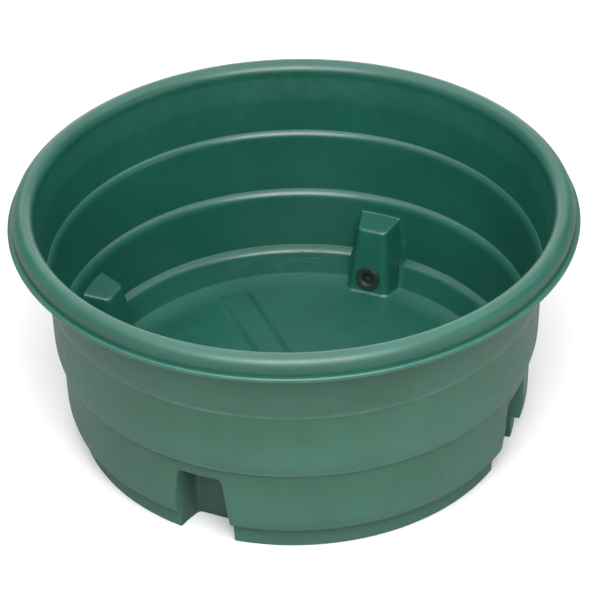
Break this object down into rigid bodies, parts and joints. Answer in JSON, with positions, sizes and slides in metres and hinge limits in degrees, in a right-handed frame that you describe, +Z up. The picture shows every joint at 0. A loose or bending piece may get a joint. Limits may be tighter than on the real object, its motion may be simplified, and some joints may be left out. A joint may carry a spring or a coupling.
{
  "type": "livestock water tank",
  "caption": "Round moulded plastic livestock water tank with rolled rim, stepped wall bands, base pockets, floor rib, and a bulkhead drain with a screw-in plug.",
  "frame": {"origin": "centre of the footprint, on the ground", "axes": "+Z up; the drain pocket is on +Y, the other pockets on +X, -X and -Y"},
  "size_m": [1.3598, 1.3598, 0.628],
  "materials": {
    "shell": "moulded green polyethylene, satin inside and on the rim, duller outside",
    "drain_fitting": "black moulded polypropylene",
    "plug": "black moulded polypropylene",
    "seals": "black rubber"
  },
  "bodies": {
    "tank": {"tank_shell": "shell", "drain_body": "drain_fitting", "drain_gasket": "seals", "drain_washer": "drain_fitting", "drain_locknut": "drain_fitting"},
    "plug_carrier": {"plug_seal": "seals"},
    "plug": {"drain_plug": "plug"}
  },
  "joints": [
    {"name": "plug_travel", "type": "slide", "parent": "tank", "child": "plug_carrier", "axis": [0, 0.984, -0.1779], "range_m": [0, 0.016]},
    {"name": "plug_turn", "type": "hinge", "parent": "plug_carrier", "child": "plug", "pos_m": [0, 0.50437, 0.07498], "axis": [0, 0.984, -0.1779], "range_deg": [0, 1440]}
  ],
  "couplings": [
    {"joint": "plug_travel", "follows": "plug_turn", "m_per_rad": 0.00063662}
  ]
}
